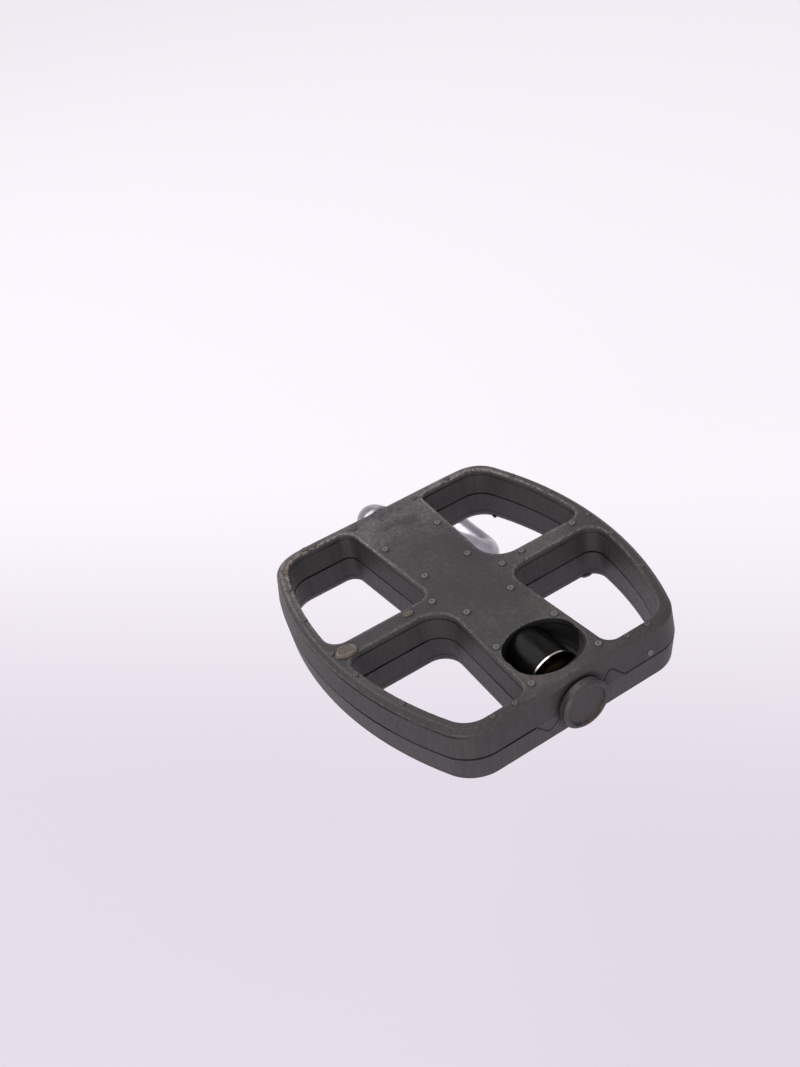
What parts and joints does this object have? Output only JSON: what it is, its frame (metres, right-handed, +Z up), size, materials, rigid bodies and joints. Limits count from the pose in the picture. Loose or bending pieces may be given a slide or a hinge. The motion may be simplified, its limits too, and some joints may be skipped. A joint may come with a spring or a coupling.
{
  "type": "pedal kart pedal with crank arm",
  "caption": "Moulded plastic foot pedal with open windows, turning freely on the bent steel crank rod of a child's pedal kart.",
  "frame": {"origin": "on the crank's axle, at the shoulder where its straight journal starts", "axes": "+X is the kart's forward, +Y runs inboard along the axle's journal, +Z is up, with the pedal level and the arm leading down and forward to the axle"},
  "size_m": [0.123, 0.1901, 0.0716],
  "materials": {
    "rod_zinc": "zinc-plated, satin",
    "washer_zinc": "zinc-plated",
    "cap_brass": "yellow-passivated spring steel",
    "pedal_black": "moulded black, scuffed",
    "bush_black": "smooth black nylon",
    "plug_black": "moulded black"
  },
  "bodies": {
    "crank": {"crank_rod": "rod_zinc", "thrust_washer": "washer_zinc", "push_on_cap": "cap_brass"},
    "pedal": {"pedal_upper_half": "pedal_black", "pedal_lower_half": "pedal_black", "bearing_bush_inner": "bush_black", "bearing_bush_outer": "bush_black", "end_plug": "plug_black"}
  },
  "joints": [
    {"name": "pedal_spin", "type": "hinge", "parent": "crank", "child": "pedal", "pos_m": [-0.05851, -0.08, 0.05456], "axis": [0, 1, 0], "continuous": true}
  ]
}
